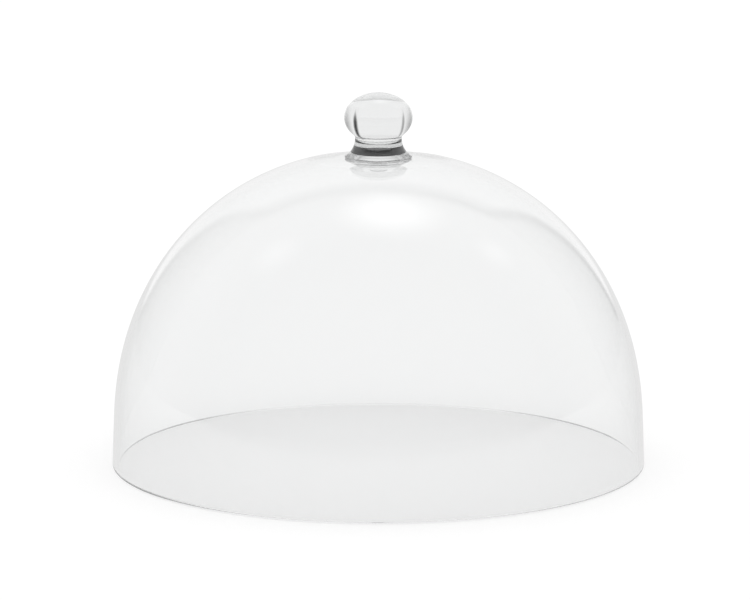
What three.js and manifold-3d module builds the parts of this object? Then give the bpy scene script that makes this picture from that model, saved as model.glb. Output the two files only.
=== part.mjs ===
// Clear polycarbonate food dome with a lifting knob.
// Millimetres, +Z up. Every piece is turned about the Z axis, and the dome's rim stands on z = 0.

import * as THREE from 'three';
import { mergeVertices } from 'three/addons/utils/BufferGeometryUtils.js';
import Module from 'manifold-3d';

const wasm = await Module();
wasm.setup();

// Dome shell
const RIM_DIAMETER = 300;
const SEAT_HEIGHT = 171.5; // from the rim up to the flat on the crown that the knob stands on
const WALL = 3;
const SEAT_THINNING = 0.4; // how much less wall there is at the seat, where the dome is drawn out most
const SKIRT_HEIGHT = 27.5; // straight band between the rim and the curved part
const SKIRT_DRAFT = THREE.MathUtils.degToRad(2.5); // the skirt opens towards the rim, to leave the mould
const DOME_FULLNESS = 2.14; // exponent of the dome's curve: 2 is an ellipse, more is fuller
const SEAT_MARGIN = 7.25; // flat left around the knob's foot
const SEAT_BLEND = 1.5; // height over which the flat runs into the curve
const RIM_ROUND = 0.6;

// Knob
const NECK_DIAMETER = 26;
const NECK_LENGTH = 0.2; // straight part between the flare and the ball
const FLARE_SPREAD = 5.75; // how far the foot stands out past the neck
const FLARE_RADIUS = 12;
const FOOT_EDGE = 0.85;
const FOOT_ROUND = 0.3;
const FOOT_RING = 1.25; // ring that the foot stands on, around its dished underside
const BALL_DIAMETER = 38;
const BALL_HEIGHT = 28;
const BALL_FILLET = 2;

// Seal, threaded insert, clamp washer and screw
const SEAL_DIAMETER = 26;
const SEAL_THICKNESS = 1.5;
const INSERT_DIAMETER = 9;
const INSERT_ROOF = 0.4; // left above the blind hole
const THREAD_ENGAGEMENT = 2.8;
const CLAMP_WASHER_DIAMETER = 24;
const CLAMP_WASHER_THICKNESS = 2;
const CLAMP_WASHER_ROUND = 0.4;
const SCREW_DIAMETER = 5;
const SCREW_TIP_CHAMFER = 0.5;
const SCREW_HEAD_DIAMETER = 10;
const SCREW_HEAD_HEIGHT = 3.5;
const SCREW_HEAD_EDGE = 1.2; // straight side of the head under its rounded top
const SLOT_WIDTH = 1.2;
const SLOT_DEPTH = 1.6;

const FIT_CLEARANCE = 0.3; // between pieces that fit into each other
const CUT_OVERRUN = 1; // how far a cutter runs past the faces that it opens

// Facets
const DOME_SEGMENTS = 64;
const DOME_STEPS = 22;
const KNOB_SEGMENTS = 48;
const BALL_STEPS = 14;
const FLARE_STEPS = 7;
const HEAD_STEPS = 7;
const FASTENER_SEGMENTS = 32;
const ROUND_STEPS = 3;
const HALVINGS = 50; // of the range that is searched for a tangent point

// Sizes that follow from the ones above
const rimRadius = RIM_DIAMETER / 2;
const seatWall = WALL - SEAT_THINNING;
const undersideHeight = SEAT_HEIGHT - seatWall;
const neckRadius = NECK_DIAMETER / 2;
const footRadius = neckRadius + FLARE_SPREAD;
const seatRadius = footRadius + SEAT_MARGIN;
const sealRadius = SEAL_DIAMETER / 2;
const insertRadius = INSERT_DIAMETER / 2;
const insertHoleDepth = THREAD_ENGAGEMENT + FIT_CLEARANCE;
const insertHeight = insertHoleDepth + INSERT_ROOF;
const screwRadius = SCREW_DIAMETER / 2;
const screwHoleRadius = screwRadius + FIT_CLEARANCE;

const clearPolycarbonate = new THREE.MeshStandardMaterial({
  color: '#eef2f2', roughness: 0.05, metalness: 0, transparent: true, opacity: 0.25,
});
const blackRubber = new THREE.MeshStandardMaterial({ color: '#1d1d1e', roughness: 0.75, metalness: 0 });
const blackNylon = new THREE.MeshStandardMaterial({ color: '#161617', roughness: 0.45, metalness: 0 });

// Outlines are drawn in the (radius, height) half plane, anticlockwise.
const at = (radius, height) => new THREE.Vector2(radius, height);

function arc(centre, radius, fromAngle, toAngle, steps) {
  return ellipseArc(centre, radius, radius, fromAngle, toAngle, steps);
}

function ellipseArc(centre, radiusAcross, radiusUp, fromAngle, toAngle, steps) {
  const points = [];
  for (let i = 0; i <= steps; i += 1) {
    const angle = THREE.MathUtils.lerp(fromAngle, toAngle, i / steps);
    points.push(at(centre.x + radiusAcross * Math.cos(angle), centre.y + radiusUp * Math.sin(angle)));
  }
  return points;
}

function turned(outline, segments) {
  const geometry = new THREE.LatheGeometry(outline, segments);
  geometry.rotateX(Math.PI / 2);
  return geometry;
}

function closed(outline) {
  return [...outline, outline[0].clone()];
}

function piece(name, geometry, material) {
  const mesh = new THREE.Mesh(geometry, material);
  mesh.name = name;
  return mesh;
}

// The skirt's cone is carried on up and closed by a superellipse, whose rise is set so that the flat for
// the knob is as wide as the seat.
const coneRadius = (height) => rimRadius - height * Math.tan(SKIRT_DRAFT);

function curveRise() {
  const flatEdge = SEAT_HEIGHT + SEAT_BLEND;
  const share = (1 - (seatRadius / coneRadius(flatEdge)) ** DOME_FULLNESS) ** (1 / DOME_FULLNESS);
  return (flatEdge - SKIRT_HEIGHT) / share;
}

function curveRadius(height) {
  const share = (height - SKIRT_HEIGHT) / curveRise();
  return coneRadius(height) * (1 - share ** DOME_FULLNESS) ** (1 / DOME_FULLNESS);
}

function domeCurve() {
  const points = [];
  for (let i = 0; i < DOME_STEPS; i += 1) {
    const angle = (Math.PI / 2) * (i / DOME_STEPS);
    const height = SKIRT_HEIGHT + curveRise() * Math.sin(angle) ** (2 / DOME_FULLNESS);
    points.push(at(curveRadius(height), height));
  }
  return points;
}

// Each point moved into the dome by the wall, square to the line through its neighbours.
function insideOf(curve) {
  const before = at(rimRadius, 0);
  return curve.slice(0, -1).map((point, i) => {
    const previous = i > 0 ? curve[i - 1] : before;
    const along = curve[i + 1].clone().sub(previous).normalize();
    return at(point.x - along.y * WALL, point.y + along.x * WALL);
  });
}

// The lower of the curve and a level, with a soft change from one to the other.
function levelled(curve, level) {
  const below = curve.filter((point) => point.y < level + SEAT_BLEND);
  return below.map((point) => {
    const nearness = Math.max(SEAT_BLEND - Math.abs(point.y - level), 0) / SEAT_BLEND;
    return at(point.x, Math.min(point.y, level) - (nearness ** 2 * SEAT_BLEND) / 4);
  });
}

function domeShell() {
  const slant = 1 / Math.cos(SKIRT_DRAFT);
  const roundLean = RIM_ROUND * (Math.tan(SKIRT_DRAFT) + slant);
  const insideLean = RIM_ROUND * (slant - Math.tan(SKIRT_DRAFT));
  const outerRoundCentre = at(rimRadius - roundLean, RIM_ROUND);
  const innerRoundCentre = at(rimRadius - WALL * slant + insideLean, RIM_ROUND);
  const curve = domeCurve();
  const undersideFlatRadius = curveRadius(undersideHeight + WALL + SEAT_BLEND);
  const outline = closed([
    ...arc(outerRoundCentre, RIM_ROUND, -Math.PI / 2, SKIRT_DRAFT, ROUND_STEPS),
    ...levelled(curve, SEAT_HEIGHT),
    at(seatRadius, SEAT_HEIGHT),
    at(screwHoleRadius, SEAT_HEIGHT),
    at(screwHoleRadius, undersideHeight),
    at(undersideFlatRadius, undersideHeight),
    ...levelled(insideOf(curve), undersideHeight).reverse(),
    ...arc(innerRoundCentre, RIM_ROUND, Math.PI + SKIRT_DRAFT, Math.PI * 1.5, ROUND_STEPS),
  ]);
  return piece('dome_shell', turned(outline, DOME_SEGMENTS), clearPolycarbonate);
}

// Where the fillet under the ball touches it, as an angle around the ball's ellipse. There the ball's
// surface, moved out by the fillet's radius, is as far from the axis as the fillet's centre.
function ballNormal(angle) {
  return at(Math.cos(angle) * BALL_HEIGHT, Math.sin(angle) * BALL_DIAMETER).normalize();
}

function filletAngleOnBall() {
  let low = -Math.PI / 2;
  let high = 0;
  for (let i = 0; i < HALVINGS; i += 1) {
    const middle = (low + high) / 2;
    const reach = (BALL_DIAMETER / 2) * Math.cos(middle) + BALL_FILLET * ballNormal(middle).x;
    if (reach < neckRadius + BALL_FILLET) {
      low = middle;
    } else {
      high = middle;
    }
  }
  return low;
}

function knob() {
  const flareRise = Math.sqrt(FLARE_RADIUS ** 2 - (FLARE_RADIUS - FLARE_SPREAD) ** 2);
  const flareCentre = at(neckRadius + FLARE_RADIUS, FOOT_EDGE + flareRise);
  const flareStart = Math.PI + Math.asin(flareRise / FLARE_RADIUS);
  const ballAngle = filletAngleOnBall();
  const normal = ballNormal(ballAngle);
  const filletCentre = at(neckRadius + BALL_FILLET, flareCentre.y + NECK_LENGTH);
  const filletEnd = Math.atan2(-normal.y, -normal.x);
  const touchBelowCentre = (BALL_HEIGHT / 2) * Math.sin(ballAngle);
  const ballCentre = at(0, filletCentre.y - BALL_FILLET * normal.y - touchBelowCentre);
  const ball = ellipseArc(ballCentre, BALL_DIAMETER / 2, BALL_HEIGHT / 2, ballAngle, Math.PI / 2, BALL_STEPS);
  ball[ball.length - 1].x = 0;
  const boreRadius = insertRadius + FIT_CLEARANCE;
  const outline = [
    at(0, insertHeight),
    at(boreRadius, insertHeight),
    at(boreRadius, SEAL_THICKNESS),
    at(sealRadius + FIT_CLEARANCE, SEAL_THICKNESS),
    at(footRadius - FOOT_RING, 0),
    ...arc(at(footRadius - FOOT_ROUND, FOOT_ROUND), FOOT_ROUND, -Math.PI / 2, 0, ROUND_STEPS),
    ...arc(flareCentre, FLARE_RADIUS, flareStart, Math.PI, FLARE_STEPS),
    ...arc(filletCentre, BALL_FILLET, Math.PI, filletEnd, ROUND_STEPS),
    ...ball.slice(1),
  ];
  return piece('knob', turned(outline, KNOB_SEGMENTS), clearPolycarbonate);
}

function sealWasher() {
  const innerRadius = insertRadius + FIT_CLEARANCE;
  const outline = closed([
    at(innerRadius, 0),
    at(sealRadius, 0),
    at(sealRadius, SEAL_THICKNESS),
    at(innerRadius, SEAL_THICKNESS),
  ]);
  return piece('seal_washer', turned(outline, KNOB_SEGMENTS), blackRubber);
}

function knobInsert() {
  const outline = [
    at(0, insertHoleDepth),
    at(screwHoleRadius, insertHoleDepth),
    at(screwHoleRadius, 0),
    at(insertRadius, 0),
    at(insertRadius, insertHeight),
    at(0, insertHeight),
  ];
  return piece('knob_insert', turned(outline, FASTENER_SEGMENTS), blackNylon);
}

function clampWasher() {
  const roundRadius = CLAMP_WASHER_DIAMETER / 2 - CLAMP_WASHER_ROUND;
  const upperRound = at(roundRadius, CLAMP_WASHER_THICKNESS - CLAMP_WASHER_ROUND);
  const lowerRound = at(roundRadius, CLAMP_WASHER_ROUND);
  const outline = closed([
    at(screwHoleRadius, 0),
    ...arc(lowerRound, CLAMP_WASHER_ROUND, -Math.PI / 2, 0, ROUND_STEPS),
    ...arc(upperRound, CLAMP_WASHER_ROUND, 0, Math.PI / 2, ROUND_STEPS),
    at(screwHoleRadius, CLAMP_WASHER_THICKNESS),
  ]);
  return piece('clamp_washer', turned(outline, KNOB_SEGMENTS), clearPolycarbonate);
}

function toSolid(geometry) {
  const bare = geometry.clone();
  bare.deleteAttribute('normal');
  bare.deleteAttribute('uv');
  const merged = mergeVertices(bare);
  const vertProperties = new Float32Array(merged.attributes.position.array);
  const triVerts = new Uint32Array(merged.index.array);
  return new wasm.Manifold(new wasm.Mesh({ numProp: 3, vertProperties, triVerts }));
}

function toGeometry(solid) {
  const { vertProperties, triVerts } = solid.getMesh();
  const geometry = new THREE.BufferGeometry();
  geometry.setAttribute('position', new THREE.BufferAttribute(vertProperties, 3));
  geometry.setIndex(new THREE.BufferAttribute(triVerts, 1));
  geometry.computeVertexNormals();
  return geometry;
}

// A slotted pan-head screw that enters from inside the dome, with its bearing face on z = 0.
function knobScrew() {
  const headRadius = SCREW_HEAD_DIAMETER / 2;
  const crownHeight = SCREW_HEAD_HEIGHT - SCREW_HEAD_EDGE;
  const tip = CLAMP_WASHER_THICKNESS + seatWall + THREAD_ENGAGEMENT;
  const crown = ellipseArc(at(0, -SCREW_HEAD_EDGE), headRadius, crownHeight, -Math.PI / 2, 0, HEAD_STEPS);
  crown[0].x = 0;
  const outline = [
    ...crown,
    at(headRadius, 0),
    at(screwRadius, 0),
    at(screwRadius, tip - SCREW_TIP_CHAMFER),
    at(screwRadius - SCREW_TIP_CHAMFER, tip),
    at(0, tip),
  ];
  const slot = new THREE.BoxGeometry(SCREW_HEAD_DIAMETER + 2 * CUT_OVERRUN, SLOT_WIDTH, SLOT_DEPTH * 2);
  slot.translate(0, 0, -SCREW_HEAD_HEIGHT);
  const slotted = toSolid(turned(outline, FASTENER_SEGMENTS)).subtract(toSolid(slot));
  return piece('knob_screw', toGeometry(slotted), clearPolycarbonate);
}

// The knob, its seal and its insert stand on the seat.
const aboveSeat = new THREE.Group();
aboveSeat.add(knob(), sealWasher(), knobInsert());
aboveSeat.position.z = SEAT_HEIGHT;

// The clamp washer and the screw hold them from inside.
const insideCrown = new THREE.Group();
const washer = clampWasher();
const screw = knobScrew();
washer.position.z = -CLAMP_WASHER_THICKNESS;
screw.position.z = -CLAMP_WASHER_THICKNESS;
insideCrown.add(washer, screw);
insideCrown.position.z = undersideHeight;

const foodDome = new THREE.Group();
foodDome.add(domeShell(), aboveSeat, insideCrown);

export default foodDome;
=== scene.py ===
"""A clear polycarbonate food dome with a knob, in a white studio.

Fine turned pieces stand in for the CAD nodes, because light bends through them and would show facets.
Metres, +Z up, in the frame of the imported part.
"""

import math

import bmesh
import bpy
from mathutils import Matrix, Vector


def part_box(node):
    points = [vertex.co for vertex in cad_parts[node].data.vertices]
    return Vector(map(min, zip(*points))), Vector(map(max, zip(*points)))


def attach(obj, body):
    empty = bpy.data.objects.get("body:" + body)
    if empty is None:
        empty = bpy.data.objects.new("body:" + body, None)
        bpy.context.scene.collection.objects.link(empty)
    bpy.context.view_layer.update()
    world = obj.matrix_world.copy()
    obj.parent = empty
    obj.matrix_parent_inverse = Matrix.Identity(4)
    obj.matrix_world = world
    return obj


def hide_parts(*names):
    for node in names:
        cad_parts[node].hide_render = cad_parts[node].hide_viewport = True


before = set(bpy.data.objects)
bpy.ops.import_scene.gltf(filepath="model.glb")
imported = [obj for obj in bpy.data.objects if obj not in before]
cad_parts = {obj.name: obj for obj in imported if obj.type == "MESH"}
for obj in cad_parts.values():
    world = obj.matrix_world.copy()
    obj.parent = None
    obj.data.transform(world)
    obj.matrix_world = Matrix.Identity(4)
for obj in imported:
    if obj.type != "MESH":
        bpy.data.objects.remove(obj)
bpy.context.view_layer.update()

MM = 0.001

# Where the pieces are, from the CAD nodes
_, shell_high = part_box("dome_shell")
_, seal_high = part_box("seal_washer")
_, insert_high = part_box("knob_insert")
clamp_low, clamp_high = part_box("clamp_washer")
screw_low, screw_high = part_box("knob_screw")
rim_radius = shell_high.x
seat_height = shell_high.z
underside_height = clamp_high.z

# Dome
WALL = 3 * MM
SKIRT_HEIGHT = 27.5 * MM
SKIRT_DRAFT = math.radians(2.5)
DOME_FULLNESS = 2.14  # the superellipse's power: 2 is an ellipse, and more is fuller
SEAT_RADIUS = 26 * MM
SEAT_BLEND = 1.5 * MM
DOME_STEPS = 110
DOME_SEGMENTS = 192

# Knob
NECK_RADIUS = 13 * MM
NECK_LENGTH = 0.2 * MM
FLARE_SPREAD = 5.75 * MM
FLARE_RADIUS = 12 * MM
FOOT_EDGE = 0.85 * MM
FOOT_ROUND = 0.3 * MM
FOOT_RING = 1.25 * MM  # the flat ring that the foot stands on
BALL_RADIUS = 19 * MM
BALL_HALF_HEIGHT = 14 * MM
BALL_FILLET = 2 * MM
KNOB_STEPS = 48
KNOB_SEGMENTS = 128
HALVINGS = 50

# Fixing
SCREW_RADIUS = 2.5 * MM
SCREW_HOLE_RADIUS = 2.8 * MM
SCREW_HEAD_EDGE = 1.2 * MM
SCREW_HEAD_HEIGHT = 3.5 * MM
SCREW_HEAD_RADIUS = 5 * MM
SLOT_WIDTH = 1.2 * MM
SLOT_DEPTH = 1.6 * MM
SLOT_CUTTER_LENGTH = 3 * SCREW_HEAD_RADIUS
THREAD_PITCH = 0.8 * MM
THREAD_DEPTH = 0.4 * MM
THREAD_STEPS = 8
INSERT_ROOF = 0.4 * MM
FIT_CLEARANCE = 0.3 * MM
KNURL_DEPTH = 0.15 * MM
KNURLS = 24
KNURL_STEPS = 8
SMALL_STEPS = 16
SMALL_SEGMENTS = 96

# Finish of every piece
AIR_GAP = 0.05 * MM  # between clear pieces that touch
CONTACT = 0.02 * MM  # how far dark pieces are pressed into the clear knob, so that no air lies between
EDGE_TRIM = 0.4 * MM
EDGE_SHARE = 0.45  # of a short side, the most that the round at its end takes
EDGE_STEPS = 4
SHARP_TURN = math.radians(25)
CREASE = math.radians(40)  # a sharper edge isn't smoothed over
LONGEST_STEP = 2.5 * MM
TINY = 1e-7  # a length below this counts as none


def ellipse_arc(centre, across, up, start, end, steps):
    points = []
    for i in range(steps + 1):
        angle = start + (end - start) * i / steps
        points.append(Vector((centre.x + across * math.cos(angle), centre.y + up * math.sin(angle))))
    return points


def arc(centre, radius, start, end, steps):
    return ellipse_arc(centre, radius, radius, start, end, steps)


def softened(outline):
    """The outline with its sharp corners cut to small rounds."""
    closed = outline[0].x > TINY
    count = len(outline)
    points = []
    for i, corner in enumerate(outline):
        if not closed and i in (0, count - 1):
            points.append(corner)
            continue
        back = outline[i - 1] - corner
        ahead = outline[(i + 1) % count] - corner
        turn = math.pi - back.angle(ahead)
        if turn < SHARP_TURN:
            points.append(corner)
            continue
        trim = min(EDGE_TRIM, EDGE_SHARE * back.length, EDGE_SHARE * ahead.length)
        start = corner + back.normalized() * trim
        end = corner + ahead.normalized() * trim
        for step in range(EDGE_STEPS + 1):
            share = step / EDGE_STEPS
            points.append(start.lerp(corner, share).lerp(corner.lerp(end, share), share))
    return points


def evened(outline, closed):
    """The outline with its long straight stretches split, so that smooth shading stays true on them."""
    points = []
    for i, point in enumerate(outline):
        points.append(point)
        if i == len(outline) - 1 and not closed:
            break
        following = outline[(i + 1) % len(outline)]
        parts = math.ceil((following - point).length / LONGEST_STEP)
        for part in range(1, parts):
            points.append(point.lerp(following, part / parts))
    return points


def turned(name, outline, segments, ripple=None):
    """An object turned about Z from an anticlockwise outline. A ripple shapes the radius round a turn."""
    closed = outline[0].x > TINY
    shape = bmesh.new()
    rings = []
    for radius, height in evened(outline, closed):
        if radius < TINY:
            rings.append([shape.verts.new((0, 0, height))])
            continue
        ring = []
        for i in range(segments):
            angle = 2 * math.pi * i / segments
            reach = ripple(radius, height, angle) if ripple else radius
            ring.append(shape.verts.new((reach * math.cos(angle), reach * math.sin(angle), height)))
        rings.append(ring)
    pairs = list(zip(rings, rings[1:]))
    if closed:
        pairs.append((rings[-1], rings[0]))
    for first, second in pairs:
        for i in range(segments):
            j = (i + 1) % segments
            if len(first) == 1:
                shape.faces.new((first[0], second[j], second[i]))
            elif len(second) == 1:
                shape.faces.new((first[i], first[j], second[0]))
            else:
                shape.faces.new((first[i], first[j], second[j], second[i]))
    mesh = bpy.data.meshes.new(name)
    shape.to_mesh(mesh)
    shape.free()
    made = bpy.data.objects.new(name, mesh)
    bpy.context.scene.collection.objects.link(made)
    return made


def slotted(made):
    """The screw with a straight slot cut across its head."""
    shape = bmesh.new()
    bmesh.ops.create_cube(shape, size=1)
    bmesh.ops.scale(shape, vec=(SLOT_CUTTER_LENGTH, SLOT_WIDTH, 2 * SLOT_DEPTH), verts=shape.verts)
    bmesh.ops.translate(shape, vec=(0, 0, screw_low.z), verts=shape.verts)
    mesh = bpy.data.meshes.new("slot_cutter")
    shape.to_mesh(mesh)
    shape.free()
    cutter = bpy.data.objects.new("slot_cutter", mesh)
    bpy.context.scene.collection.objects.link(cutter)
    cut = made.modifiers.new("slot", "BOOLEAN")
    cut.operation = "DIFFERENCE"
    cut.solver = "EXACT"
    cut.object = cutter
    evaluated = made.evaluated_get(bpy.context.evaluated_depsgraph_get())
    made.data = bpy.data.meshes.new_from_object(evaluated)
    made.modifiers.clear()
    bpy.data.objects.remove(cutter)
    return made


def placed(made, node, material):
    """Shades a piece smooth and puts it, with its material, where its CAD node is."""
    made.data.shade_smooth()
    made.data.set_sharp_from_angle(angle=CREASE)
    made.data.materials.append(material)
    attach(made, "root")
    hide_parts(node)


# Dome: the skirt's cone is carried on up and closed by a superellipse. Both faces are levelled at the seat.
def cone_radius(height):
    return rim_radius - height * math.tan(SKIRT_DRAFT)


def dome_curve():
    """The outside above the skirt, as if the dome had no seat."""
    flat_edge = seat_height + SEAT_BLEND
    share = (1 - (SEAT_RADIUS / cone_radius(flat_edge)) ** DOME_FULLNESS) ** (1 / DOME_FULLNESS)
    rise = (flat_edge - SKIRT_HEIGHT) / share
    points = []
    for i in range(DOME_STEPS):
        angle = math.pi / 2 * i / DOME_STEPS
        height = SKIRT_HEIGHT + rise * math.sin(angle) ** (2 / DOME_FULLNESS)
        radius = cone_radius(height) * math.cos(angle) ** (2 / DOME_FULLNESS)
        points.append(Vector((radius, height)))
    return points


def inside_of(curve):
    """Each point moved in by the wall, square to the line through its neighbours."""
    padded = [Vector((rim_radius, 0)), *curve]
    points = []
    for previous, point, following in zip(padded, padded[1:], padded[2:]):
        along = (following - previous).normalized()
        points.append(Vector((point.x - along.y * WALL, point.y + along.x * WALL)))
    return points


def levelled(curve, level):
    """The lower of the curve and a level, with a soft change from one to the other."""
    points = []
    for radius, height in curve:
        if height > level + SEAT_BLEND:
            break
        nearness = max(SEAT_BLEND - abs(height - level), 0) / SEAT_BLEND
        points.append(Vector((radius, min(height, level) - nearness**2 * SEAT_BLEND / 4)))
    return points


def dome_outline():
    curve = dome_curve()
    inside = levelled(inside_of(curve), underside_height)
    return [
        Vector((rim_radius, 0)),
        *levelled(curve, seat_height),
        Vector((SCREW_HOLE_RADIUS, seat_height)),
        Vector((SCREW_HOLE_RADIUS, underside_height)),
        *reversed(inside),
        Vector((rim_radius - WALL / math.cos(SKIRT_DRAFT), 0)),
    ]


# Knob: a flared foot, a short neck and a flat ball. The foot is dished over the seal, with a bore for the
# insert.
pocket_radius = seal_high.x + FIT_CLEARANCE
bore_radius = insert_high.x + FIT_CLEARANCE


def ball_normal(angle):
    return Vector((math.cos(angle) * BALL_HALF_HEIGHT, math.sin(angle) * BALL_RADIUS)).normalized()


def fillet_angle_on_ball():
    """Where the fillet under the ball touches it, found by halving."""
    low = -math.pi / 2
    high = 0.0
    for _ in range(HALVINGS):
        middle = (low + high) / 2
        reach = BALL_RADIUS * math.cos(middle) + BALL_FILLET * ball_normal(middle).x
        if reach < NECK_RADIUS + BALL_FILLET:
            low = middle
        else:
            high = middle
    return low


def knob_outline():
    foot_radius = NECK_RADIUS + FLARE_SPREAD
    foot = seat_height + AIR_GAP
    foot_round_centre = Vector((foot_radius - FOOT_ROUND, foot + FOOT_ROUND))
    flare_rise = math.sqrt(FLARE_RADIUS**2 - (FLARE_RADIUS - FLARE_SPREAD) ** 2)
    flare_centre = Vector((NECK_RADIUS + FLARE_RADIUS, seat_height + FOOT_EDGE + flare_rise))
    flare_start = math.pi + math.asin(flare_rise / FLARE_RADIUS)
    fillet_centre = Vector((NECK_RADIUS + BALL_FILLET, flare_centre.y + NECK_LENGTH))
    ball_angle = fillet_angle_on_ball()
    normal = ball_normal(ball_angle)
    fillet_end = math.atan2(-normal.y, -normal.x)
    touch_height = fillet_centre.y - BALL_FILLET * normal.y
    ball_centre = Vector((0, touch_height - BALL_HALF_HEIGHT * math.sin(ball_angle)))
    ball = ellipse_arc(ball_centre, BALL_RADIUS, BALL_HALF_HEIGHT, ball_angle, math.pi / 2, KNOB_STEPS)
    ball[-1].x = 0
    return [
        Vector((0, insert_high.z)),
        Vector((bore_radius, insert_high.z)),
        Vector((bore_radius, seal_high.z)),
        Vector((pocket_radius, seal_high.z)),
        Vector((foot_radius - FOOT_RING, foot)),
        *arc(foot_round_centre, FOOT_ROUND, -math.pi / 2, 0, EDGE_STEPS),
        *arc(flare_centre, FLARE_RADIUS, flare_start, math.pi, SMALL_STEPS),
        *arc(fillet_centre, BALL_FILLET, math.pi, fillet_end, SMALL_STEPS),
        *ball[1:],
    ]


# Fixing: a rubber seal and a threaded insert under the knob, and a washer and a screw inside the dome
def seal_outline():
    top = seal_high.z + CONTACT
    bottom = seat_height + AIR_GAP
    return [
        Vector((bore_radius, bottom)),
        Vector((seal_high.x, bottom)),
        Vector((seal_high.x, top)),
        Vector((bore_radius, top)),
    ]


def insert_outline():
    radius = bore_radius + CONTACT
    top = insert_high.z + CONTACT
    bottom = seat_height + AIR_GAP
    roof = insert_high.z - INSERT_ROOF
    return [
        Vector((0, roof)),
        Vector((SCREW_HOLE_RADIUS, roof)),
        Vector((SCREW_HOLE_RADIUS, bottom)),
        Vector((radius, bottom)),
        Vector((radius, top)),
        Vector((0, top)),
    ]


def clamp_outline():
    top = clamp_high.z - AIR_GAP
    return [
        Vector((SCREW_HOLE_RADIUS, clamp_low.z)),
        Vector((clamp_high.x, clamp_low.z)),
        Vector((clamp_high.x, top)),
        Vector((SCREW_HOLE_RADIUS, top)),
    ]


def screw_outline():
    bearing = clamp_low.z - AIR_GAP
    crown_centre = Vector((0, bearing - SCREW_HEAD_EDGE))
    crown_height = SCREW_HEAD_HEIGHT - SCREW_HEAD_EDGE
    crown = ellipse_arc(crown_centre, SCREW_HEAD_RADIUS, crown_height, -math.pi / 2, 0, SMALL_STEPS)
    crown[0].x = 0
    turns = math.floor((screw_high.z - bearing) / THREAD_PITCH)
    rows = turns * THREAD_STEPS
    shank = []
    for i in range(rows + 1):
        height = bearing + (screw_high.z - bearing) * i / rows
        shank.append(Vector((SCREW_RADIUS, height)))
    return [*crown, Vector((SCREW_HEAD_RADIUS, bearing)), *shank, Vector((0, screw_high.z))]


def thread(radius, height, angle):
    """The thread on the screw's shank, as a ridge that climbs one pitch a turn."""
    if abs(radius - SCREW_RADIUS) > TINY:
        return radius
    phase = (height / THREAD_PITCH - angle / (2 * math.pi)) % 1
    from_ridge = abs(2 * phase - 1)
    return radius - THREAD_DEPTH * from_ridge


def knurl(radius, height, angle):
    """Straight ribs on the insert's side, which key it into the knob."""
    if radius < bore_radius:
        return radius
    return radius + KNURL_DEPTH * max(math.cos(KNURLS * angle), 0)


# Materials. A grain is a noise's scale, in patches to a metre.
POLYCARBONATE_IOR = 1.585
DOME_TINT = (0.965, 0.968, 0.968, 1)
KNOB_TINT = (0.86, 0.865, 0.865, 1)
FIXING_TINT = (0.97, 0.972, 0.972, 1)
POLISH_GRAIN = 600
POLISH_ROUGHNESS = (0.002, 0.012)
WAVE_GRAIN = 35
WAVE_HEIGHT = 0.02 * MM
RUBBER_COLOUR = (0.11, 0.11, 0.112, 1)
RUBBER_ROUGHNESS = (0.55, 0.8)
RUBBER_GRAIN = 2500
RUBBER_RELIEF = 0.02 * MM
NYLON_COLOUR = (0.1, 0.1, 0.102, 1)
NYLON_ROUGHNESS = (0.35, 0.55)
NYLON_GRAIN = 1500
NYLON_RELIEF = 0.01 * MM
NOISE_SPAN = (0.3, 0.7)  # where nearly all of a noise's values lie
LEVEL_DETAIL = 3.0
BUMP_DETAIL = 1.0

# Painted shade and scuffing along the rim: the base colour darkens to a painted contact shade, and the edge
# is rougher. It is full at the dome's sides, and its front right has none
RIM_SHADE_TINT = (0.3, 0.305, 0.305, 1)
WORN_ROUGHNESS = 0.25
SHADE_AND_WEAR_HEIGHT = 1.0 * MM
SHADE_AND_WEAR_FULL_HEIGHT = SHADE_AND_WEAR_HEIGHT / 3
SHADE_AND_WEAR_SIDE_SPAN = (0.4 * rim_radius, 0.85 * rim_radius)
SHADE_AND_WEAR_IN_MIDDLE = 0.1
FRONT_RIGHT_LEAN = 0.6
FRONT_RIGHT_SPAN = (0.1 * rim_radius, 0.6 * rim_radius)
SHADE_AND_WEAR_GRAIN = 40
SHADE_AND_WEAR_PATCHES = (0.7, 1.0)


def add_node(tree, kind, **values):
    """A shader node with its inputs set by name."""
    node = tree.nodes.new("ShaderNode" + kind)
    for name, value in values.items():
        node.inputs[name.replace("_", " ")].default_value = value
    return node


def shader_tree(owner):
    """The emptied node tree of a material or a world."""
    owner.use_nodes = True
    tree = owner.node_tree
    tree.nodes.clear()
    return tree


def shown(tree, shader, kind="OutputMaterial"):
    """Ends a tree with the shader that it shows."""
    output = add_node(tree, kind)
    tree.links.new(shader, output.inputs["Surface"])


def surface(name, **values):
    """A material, its node tree and its Principled node."""
    material = bpy.data.materials.new(name)
    tree = shader_tree(material)
    principled = add_node(tree, "BsdfPrincipled", **values)
    shown(tree, principled.outputs["BSDF"])
    return material, tree, principled


def split(tree, vector):
    """A node that gives a vector's X, Y and Z."""
    axes = add_node(tree, "SeparateXYZ")
    tree.links.new(vector, axes.inputs["Vector"])
    return axes


def maths(tree, operation, first, second=0.0):
    """The result of one sum on sockets or plain numbers."""
    node = add_node(tree, "Math")
    node.operation = operation
    for socket, value in zip(node.inputs, (first, second)):
        if isinstance(value, float):
            socket.default_value = value
        else:
            tree.links.new(value, socket)
    return node.outputs["Value"]


def ranged(tree, value, start, end, low, high):
    """A smooth change from one level to another."""
    spread = add_node(tree, "MapRange", From_Min=start, From_Max=end, To_Min=low, To_Max=high)
    spread.interpolation_type = "SMOOTHSTEP"
    tree.links.new(value, spread.inputs["Value"])
    return spread.outputs["Result"]


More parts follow.
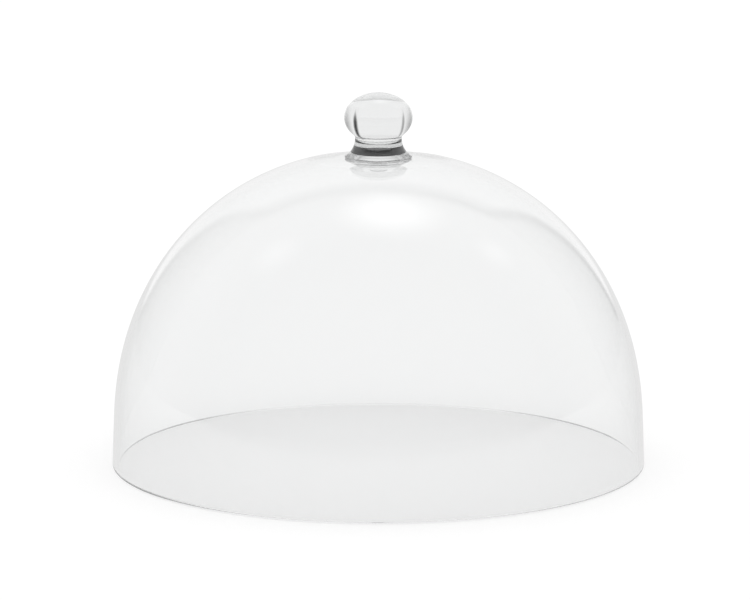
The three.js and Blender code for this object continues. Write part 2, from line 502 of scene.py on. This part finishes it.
def noise_level(tree, coords, grain, low, high):
    """A level that changes in patches over a piece."""
    noise = add_node(tree, "TexNoise", Scale=grain, Detail=LEVEL_DETAIL)
    tree.links.new(coords.outputs["Object"], noise.inputs["Vector"])
    return ranged(tree, noise.outputs["Fac"], *NOISE_SPAN, low, high)


def noise_roughness(tree, principled, coords, grain, low, high):
    tree.links.new(noise_level(tree, coords, grain, low, high), principled.inputs["Roughness"])


def noise_bump(tree, principled, coords, grain, height):
    noise = add_node(tree, "TexNoise", Scale=grain, Detail=BUMP_DETAIL)
    bump = add_node(tree, "Bump", Strength=1.0, Distance=height)
    tree.links.new(coords.outputs["Object"], noise.inputs["Vector"])
    tree.links.new(noise.outputs["Fac"], bump.inputs["Height"])
    tree.links.new(bump.outputs["Normal"], principled.inputs["Normal"])


def clear_plastic(name, tint):
    """Polished clear plastic with a slight waviness."""
    material, tree, principled = surface(
        name, Base_Color=tint, IOR=POLYCARBONATE_IOR, Transmission_Weight=1.0
    )
    coords = add_node(tree, "TexCoord")
    noise_roughness(tree, principled, coords, POLISH_GRAIN, *POLISH_ROUGHNESS)
    noise_bump(tree, principled, coords, WAVE_GRAIN, WAVE_HEIGHT)
    return material


def clear_plastic_with_shaded_worn_rim(name, tint):
    """Clear plastic with painted shade and a scuffed rougher finish along the edge it stands on, except at
    its front right.
    """
    material = clear_plastic(name, tint)
    tree = material.node_tree
    principled = tree.nodes["Principled BSDF"]
    coords = add_node(tree, "TexCoord")
    axes = split(tree, coords.outputs["Object"])
    low_edge = ranged(tree, axes.outputs["Z"], SHADE_AND_WEAR_FULL_HEIGHT, SHADE_AND_WEAR_HEIGHT, 1.0, 0.0)
    side = maths(tree, "ABSOLUTE", axes.outputs["X"])
    at_sides = ranged(tree, side, *SHADE_AND_WEAR_SIDE_SPAN, SHADE_AND_WEAR_IN_MIDDLE, 1.0)
    rightward = maths(tree, "MULTIPLY", axes.outputs["X"], FRONT_RIGHT_LEAN)
    front_right = maths(tree, "SUBTRACT", rightward, axes.outputs["Y"])
    elsewhere = ranged(tree, front_right, *FRONT_RIGHT_SPAN, 1.0, 0.0)
    shade_and_wear = maths(tree, "MULTIPLY", low_edge, maths(tree, "MULTIPLY", at_sides, elsewhere))
    shade_and_wear = maths(tree, "MULTIPLY", shade_and_wear, noise_level(tree, coords, SHADE_AND_WEAR_GRAIN, *SHADE_AND_WEAR_PATCHES))
    # painted shade: the base colour darkens to a grey along the foot of the rim, where the dome meets the
    # floor
    ramp = add_node(tree, "ValToRGB")
    ramp.color_ramp.elements[0].color = tint
    ramp.color_ramp.elements[1].color = RIM_SHADE_TINT
    tree.links.new(shade_and_wear, ramp.inputs["Fac"])
    tree.links.new(ramp.outputs["Color"], principled.inputs["Base Color"])
    polish = principled.inputs["Roughness"].links[0].from_socket
    scuffed = maths(tree, "MULTIPLY", shade_and_wear, WORN_ROUGHNESS)
    tree.links.new(maths(tree, "ADD", polish, scuffed), principled.inputs["Roughness"])
    return material


def dark_plastic(name, colour, roughness, grain, relief):
    """Dark plastic or rubber with a fine moulded grain."""
    material, tree, principled = surface(name, Base_Color=colour)
    coords = add_node(tree, "TexCoord")
    noise_roughness(tree, principled, coords, grain, *roughness)
    noise_bump(tree, principled, coords, grain, relief)
    return material


dome_clear = clear_plastic_with_shaded_worn_rim("dome_polycarbonate", DOME_TINT)
knob_clear = clear_plastic("knob_polycarbonate", KNOB_TINT)
fixing_clear = clear_plastic("fixing_polycarbonate", FIXING_TINT)
rubber = dark_plastic("black_rubber", RUBBER_COLOUR, RUBBER_ROUGHNESS, RUBBER_GRAIN, RUBBER_RELIEF)
nylon = dark_plastic("black_nylon", NYLON_COLOUR, NYLON_ROUGHNESS, NYLON_GRAIN, NYLON_RELIEF)

# Pieces
dome = turned("clear_dome", softened(dome_outline()), DOME_SEGMENTS)
placed(dome, "dome_shell", dome_clear)
knob = turned("clear_knob", knob_outline(), KNOB_SEGMENTS)
placed(knob, "knob", knob_clear)
seal = turned("rubber_seal", seal_outline(), KNOB_SEGMENTS)
placed(seal, "seal_washer", rubber)
insert = turned("threaded_insert", insert_outline(), KNURLS * KNURL_STEPS, knurl)
placed(insert, "knob_insert", nylon)
clamp = turned("clear_clamp_washer", softened(clamp_outline()), SMALL_SEGMENTS)
placed(clamp, "clamp_washer", fixing_clear)
screw = slotted(turned("clear_screw", softened(screw_outline()), SMALL_SEGMENTS, thread))
placed(screw, "knob_screw", fixing_clear)

# Studio
WHITE = (1, 1, 1, 1)
FLOOR_SIZE = 14
FLOOR_DROP = 0.8 * MM
FLOOR_PAPER = 0.2  # the share of the floor's white that light falls on
FLOOR_GLOW = 0.84
# The floor's glow is lowered under the object by an ambient-occlusion mask, as a painted shadow
FLOOR_SHADE = 0.765  # the glow where the object covers the floor
FLOOR_SHADE_REACH = 0.5
MIRRORED_ONCE = 0.5  # a count of reflections above this is one or more

# Levels that only show in reflections. A span is where a level changes, along an axis of the direction.
ROOM_LEVEL = 0.45  # round the camera
SIDE_LEVEL = 0.75
ROOM_SPAN = (-0.2, 0.5)
BACKDROP_LEVEL = 1.0
BACKDROP_TOP = 0.7
BACKDROP_HORIZON = 0.9
BACKDROP_BACK_SPAN = (0.5, 0.62)
BACKDROP_SIDE_SPAN = (0.4, 0.52)
BACKDROP_TOP_SPAN = (0.6, 0.72)
BACKDROP_HORIZON_SPAN = (0.9, 1.0)
GAP_DEPTH = 0.5  # of the dark gap between the backdrop and the lights
GAP_DEPTH_RIGHT = 1.2
GAP_SPAN = (-0.1, 0.45)
FLOOR_LEVEL = 0.8
FLOOR_FRONT = 0.55
FLOOR_SPAN = (-0.9, -0.2)  # on the floor itself, in metres

# Lights that only show in reflections: a direction, how far the light spreads from it, and its level
LAMPS = [
    (Vector((0.06, 0.30, 0.95)), 0.34, 1.0),
    (Vector((0.60, 0.21, 0.77)), 0.16, 0.3),
    (Vector((-0.55, 0.12, 0.83)), 0.20, 0.3),
]

# Upright cards that only show through the clear knob
CARD_DISTANCE = 0.7
CARD_FADE = 0.3  # of a card's height, from its foot
CARD_MIDDLE = 0.5
CARD_CORE = 0.2  # of half a card's width, from its middle, with its full grey
FULL_FOOT = 0.5  # half the width of a card's foot, as a share of the card's width
NARROW_FOOT = 0.05
SURFACES_OF_ONE = 2.5  # a ray through one clear body has met fewer surfaces than this

# Each card's name, azimuth from straight behind, width, height, grey and foot
CARDS = [
    ("dark_flag", math.radians(34), 0.16, 0.9, 0.0, NARROW_FOOT),
    ("grey_flag", math.radians(-38), 0.12, 0.9, 0.4, NARROW_FOOT),
    ("left_flag", math.radians(-80), 1.2, 1.3, 0.2, FULL_FOOT),
    ("right_flag", math.radians(80), 1.2, 1.3, 0.2, FULL_FOOT),
]


def plane(name, size_x, size_y, location, rotation=(0, 0, 0)):
    """A flat piece of the stage."""
    x = size_x / 2
    y = size_y / 2
    mesh = bpy.data.meshes.new(name)
    mesh.from_pydata([(-x, -y, 0), (x, -y, 0), (x, y, 0), (-x, y, 0)], [], [(0, 1, 2, 3)])
    made = bpy.data.objects.new(name, mesh)
    made.location = location
    made.rotation_euler = rotation
    bpy.context.scene.collection.objects.link(made)
    return made


def mixed(tree, share, first, second):
    """The first shader where the share is 0, and the second where it is 1."""
    mix = add_node(tree, "MixShader")
    tree.links.new(share, mix.inputs["Fac"])
    tree.links.new(first, mix.inputs[1])
    tree.links.new(second, mix.inputs[2])
    return mix.outputs["Shader"]


def mirrored(tree):
    """1 for light that was mirrored on its way, and 0 where it came straight through the clear pieces."""
    path = add_node(tree, "LightPath")
    return maths(tree, "GREATER_THAN", path.outputs["Glossy Depth"], MIRRORED_ONCE)


def mirrored_level(tree):
    """How bright the studio is in reflections: a backdrop, a dark gap round it, the room and lamps."""
    coords = add_node(tree, "TexCoord")
    direction = coords.outputs["Generated"]
    axes = split(tree, direction)
    back = axes.outputs["Y"]
    side = maths(tree, "ABSOLUTE", axes.outputs["X"])
    behind = maths(
        tree,
        "MULTIPLY",
        ranged(tree, back, *BACKDROP_BACK_SPAN, 0.0, 1.0),
        ranged(tree, side, *BACKDROP_SIDE_SPAN, 1.0, 0.0),
    )
    backdrop = maths(
        tree,
        "MULTIPLY",
        ranged(tree, back, *BACKDROP_TOP_SPAN, BACKDROP_TOP, BACKDROP_LEVEL),
        ranged(tree, back, *BACKDROP_HORIZON_SPAN, 1.0, BACKDROP_HORIZON),
    )
    room = ranged(tree, back, *ROOM_SPAN, ROOM_LEVEL, SIDE_LEVEL)
    lift = maths(tree, "MULTIPLY", behind, maths(tree, "SUBTRACT", backdrop, room))
    gap = maths(tree, "MULTIPLY", behind, maths(tree, "SUBTRACT", 1.0, behind))
    level = maths(tree, "ADD", lift, room)
    gap_depth = ranged(tree, axes.outputs["X"], *GAP_SPAN, GAP_DEPTH, GAP_DEPTH_RIGHT)
    level = maths(tree, "SUBTRACT", level, maths(tree, "MULTIPLY", gap, gap_depth))
    for towards, spread, strength in LAMPS:
        distance = add_node(tree, "VectorMath")
        distance.operation = "DISTANCE"
        distance.inputs[1].default_value = towards.normalized()
        tree.links.new(direction, distance.inputs[0])
        lamp = ranged(tree, distance.outputs["Value"], 0.0, spread, strength, 0.0)
        level = maths(tree, "ADD", level, lamp)
    return level


def studio_world():
    """White round the object and through it, and a studio in its reflections."""
    world = bpy.data.worlds.new("studio")
    bpy.context.scene.world = world
    tree = shader_tree(world)
    white = add_node(tree, "Background", Color=WHITE, Strength=1.0)
    studio = add_node(tree, "Background", Color=WHITE)
    tree.links.new(mirrored_level(tree), studio.inputs["Strength"])
    seen = mixed(tree, mirrored(tree), white.outputs["Background"], studio.outputs["Background"])
    shown(tree, seen, "OutputWorld")


def studio_floor():
    """White paper that partly glows, with a painted shadow: the glow is a little less where the object
    covers it.
    """
    floor = plane("floor", FLOOR_SIZE, FLOOR_SIZE, (0, 0, -FLOOR_DROP))
    material = bpy.data.materials.new("white_floor")
    tree = shader_tree(material)
    paper = add_node(tree, "BsdfDiffuse", Color=(FLOOR_PAPER, FLOOR_PAPER, FLOOR_PAPER, 1))
    # painted shadow: ambient occlusion dims the floor's glow where the object covers it
    shadow_cover = add_node(tree, "AmbientOcclusion", Distance=FLOOR_SHADE_REACH)
    glow = add_node(tree, "Emission", Color=WHITE)
    glow_level = ranged(tree, shadow_cover.outputs["AO"], 0.0, 1.0, FLOOR_SHADE, FLOOR_GLOW)
    tree.links.new(glow_level, glow.inputs["Strength"])
    lit = add_node(tree, "AddShader")
    tree.links.new(paper.outputs["BSDF"], lit.inputs[0])
    tree.links.new(glow.outputs["Emission"], lit.inputs[1])
    coords = add_node(tree, "TexCoord")
    axes = split(tree, coords.outputs["Object"])
    level = ranged(tree, axes.outputs["Y"], *FLOOR_SPAN, FLOOR_FRONT, FLOOR_LEVEL)
    reflected = add_node(tree, "Emission", Color=WHITE)
    tree.links.new(level, reflected.inputs["Strength"])
    shown(tree, mixed(tree, mirrored(tree), lit.outputs["Shader"], reflected.outputs["Emission"]))
    floor.data.materials.append(material)


def card_grey(name, grey, foot):
    """A grey that fades to white at the card's sides and foot, and shows through one clear body."""
    material = bpy.data.materials.new(name)
    tree = shader_tree(material)
    coords = add_node(tree, "TexCoord")
    axes = split(tree, coords.outputs["Generated"])
    off_centre = maths(tree, "ABSOLUTE", maths(tree, "SUBTRACT", axes.outputs["X"], CARD_MIDDLE))
    half_width = ranged(tree, axes.outputs["Y"], 0.0, CARD_FADE, foot, FULL_FOOT)
    share = maths(tree, "DIVIDE", off_centre, half_width)
    depth = maths(
        tree,
        "MULTIPLY",
        ranged(tree, share, CARD_CORE, 1.0, 1 - grey, 0.0),
        ranged(tree, axes.outputs["Y"], 0.0, CARD_FADE, 0.0, 1.0),
    )
    glow = add_node(tree, "Emission", Color=WHITE)
    tree.links.new(maths(tree, "SUBTRACT", 1.0, depth), glow.inputs["Strength"])
    clear = add_node(tree, "BsdfTransparent")
    path = add_node(tree, "LightPath")
    through_one = maths(tree, "LESS_THAN", path.outputs["Ray Depth"], SURFACES_OF_ONE)
    shown(tree, mixed(tree, through_one, clear.outputs["BSDF"], glow.outputs["Emission"]))
    return material


def stand_card(name, azimuth, width, height, grey, foot):
    """An upright card that faces the object. It only shows in light that was bent on its way."""
    x = CARD_DISTANCE * math.sin(azimuth)
    y = CARD_DISTANCE * math.cos(azimuth)
    card = plane(name, width, height, (x, y, height / 2), (math.pi / 2, 0, -azimuth))
    card.data.materials.append(card_grey(name, grey, foot))
    card.visible_camera = False
    card.visible_diffuse = False
    card.visible_glossy = False
    card.visible_shadow = False


studio_world()
studio_floor()
for card_sizes in CARDS:
    stand_card(*card_sizes)

# Camera, at the photo's distance, height and angle
CAMERA_DISTANCE = 1.747
CAMERA_HEIGHT = 0.4032
CAMERA_TILT = math.radians(10.13)
SENSOR_WIDTH = 36  # in millimetres, as is the lens
LENS = 151.84
PICTURE_WIDTH = 750
PICTURE_SHIFT = -3.4 / PICTURE_WIDTH
WALL_BOUNCES = 512  # light runs a long way inside the dome's wall, and its edge is black without them

scene = bpy.context.scene
camera_data = bpy.data.cameras.new("camera")
camera_data.sensor_width = SENSOR_WIDTH
camera_data.lens = LENS
camera_data.shift_x = PICTURE_SHIFT
camera = bpy.data.objects.new("camera", camera_data)
camera.location = (0, -CAMERA_DISTANCE, CAMERA_HEIGHT)
camera.rotation_euler = (math.pi / 2 - CAMERA_TILT, 0, 0)
scene.collection.objects.link(camera)
scene.camera = camera

scene.view_settings.view_transform = "Standard"
scene.cycles.max_bounces = WALL_BOUNCES
scene.cycles.transmission_bounces = WALL_BOUNCES
scene.cycles.glossy_bounces = WALL_BOUNCES
